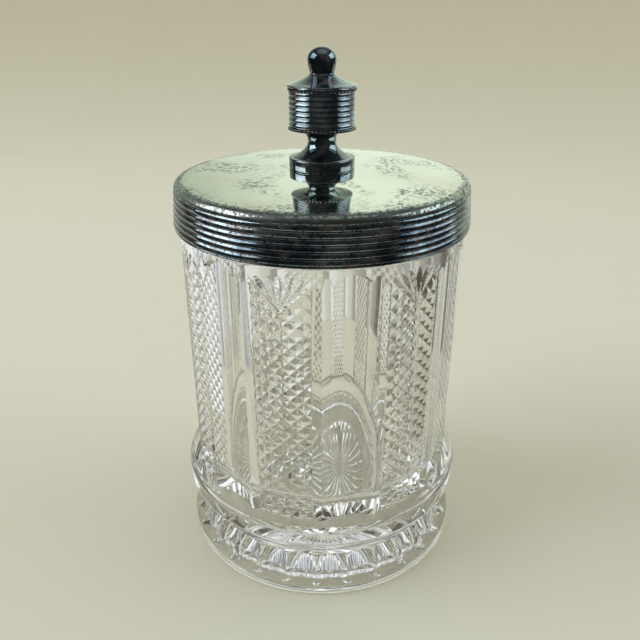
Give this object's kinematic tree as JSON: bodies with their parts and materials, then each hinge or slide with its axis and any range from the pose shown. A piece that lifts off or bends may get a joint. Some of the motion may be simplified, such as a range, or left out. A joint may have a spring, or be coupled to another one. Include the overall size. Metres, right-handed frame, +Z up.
{
  "type": "pickle castor",
  "caption": "Straight-sided pressed-glass pickle jar with diamond panels, clear flutes and a fluted foot, under a lift-off silver-plated lid with a reeded band and a turned finial.",
  "frame": {"origin": "centre of the foot, on the surface that the jar stands on", "axes": "+Z up along the jar's axis, with a diamond panel facing -Y"},
  "size_m": [0.0942, 0.0942, 0.1582],
  "materials": {
    "clear_glass": "clear pressed glass, fire-polished, faintly warm",
    "silver_plate": "polished silver plate with worn dark tarnish spots",
    "dark_silver_plate": "polished silver plate under an even dark blue-black tarnish",
    "steel": "dull plain steel"
  },
  "bodies": {
    "jar": {"glass_jar": "clear_glass"},
    "lid": {"lid_top": "silver_plate", "lid_band": "dark_silver_plate", "finial_collar": "dark_silver_plate", "finial_spool": "dark_silver_plate", "finial_drum": "dark_silver_plate", "finial_cap": "dark_silver_plate", "finial_stud": "steel", "finial_washer": "steel", "finial_nut": "steel"}
  },
  "joints": [
    {"name": "lid_lift", "type": "slide", "parent": "jar", "child": "lid", "axis": [0, 0, 1], "range_m": [0, 0.06]}
  ]
}
